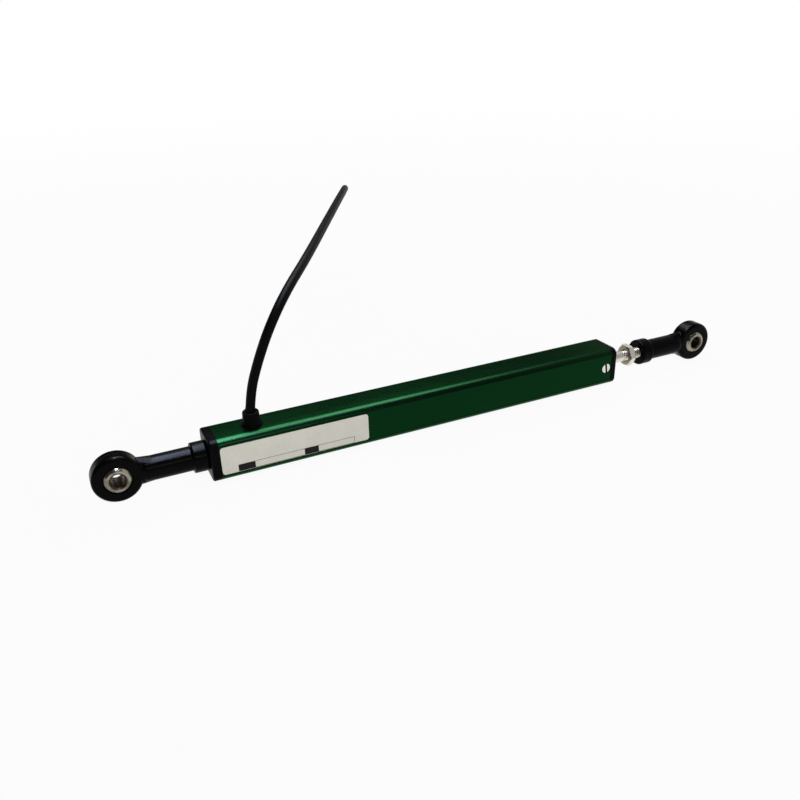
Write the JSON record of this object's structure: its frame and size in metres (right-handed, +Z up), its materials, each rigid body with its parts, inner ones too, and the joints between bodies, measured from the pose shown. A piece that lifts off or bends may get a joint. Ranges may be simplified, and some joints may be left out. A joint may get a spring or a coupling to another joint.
{
  "type": "linear position sensor",
  "caption": "Slim square-bodied linear position sensor with a sliding rod, jointed eyes at both ends and a free cable, for measuring the stroke between two pivots.",
  "frame": {"origin": "centre of the fixed eye's ball, at the cable end of the sensor", "axes": "+X along the stroke from the fixed eye to the moving eye, +Y along both eyes' bores away from the labelled side, +Z up on the cable gland's side"},
  "size_m": [0.2205, 0.1522, 0.0598],
  "materials": {
    "green_anodised": "satin green anodised extrusion",
    "cap_plastic": "black moulded plastic",
    "rod_end_plastic": "black glass-filled plastic, smooth",
    "gland_plastic": "black moulded plastic",
    "seal_rubber": "black nitrile",
    "bright_steel": "zinc plated, bright",
    "rod_steel": "ground and polished stainless",
    "ball_steel": "polished hardened steel",
    "spring_steel": "thin spring sheet",
    "bush_bronze": "sintered bronze",
    "board_laminate": "glass-filled laminate",
    "track_ink": "conductive plastic ink",
    "collector_silver": "printed silver",
    "pin_brass": "tinned brass",
    "lead_insulation": "coloured wire insulation",
    "carriage_plastic": "natural acetal",
    "label_film": "bare pale grey film",
    "cable_jacket": "black smooth jacket"
  },
  "bodies": {
    "housing": {"housing_tube": "green_anodised", "rear_end_cap": "cap_plastic", "rear_cap_seal": "seal_rubber", "rear_cap_screws": "bright_steel", "rear_stud": "bright_steel", "rear_rod_end": "rod_end_plastic", "front_end_cap": "cap_plastic", "front_cap_seal": "seal_rubber", "front_cap_screws": "bright_steel", "shaft_bush": "bush_bronze", "rod_seal": "seal_rubber", "track_board": "board_laminate", "resistive_track": "track_ink", "collector_track": "collector_silver", "terminal_pins": "pin_brass", "inner_leads": "lead_insulation", "cable_gland": "gland_plastic", "gland_lock_nut": "gland_plastic", "label": "label_film", "cable": "cable_jacket", "lead_cores": "lead_insulation"},
    "carriage": {"carriage": "carriage_plastic", "wiper": "spring_steel", "wiper_rivets": "pin_brass"},
    "shaft": {"shaft": "rod_steel", "retaining_washer": "bright_steel", "retaining_clip": "spring_steel", "lock_nut": "bright_steel", "front_rod_end": "rod_end_plastic"},
    "rear_ball": {"rear_ball": "ball_steel"},
    "front_ball": {"front_ball": "ball_steel"}
  },
  "joints": [
    {"name": "stroke", "type": "slide", "parent": "housing", "child": "carriage", "axis": [1, 0, 0], "range_m": [0, 0.075]},
    {"name": "rod_turn", "type": "hinge", "parent": "carriage", "child": "shaft", "pos_m": [0.12, 0, 0], "axis": [1, 0, 0], "continuous": true},
    {"name": "moving_eye_turn", "type": "hinge", "parent": "shaft", "child": "front_ball", "pos_m": [0.2065, 0, 0], "axis": [0, 1, 0], "continuous": true},
    {"name": "fixed_eye_turn", "type": "hinge", "parent": "housing", "child": "rear_ball", "pos_m": [0, 0, 0], "axis": [0, 1, 0], "continuous": true}
  ]
}
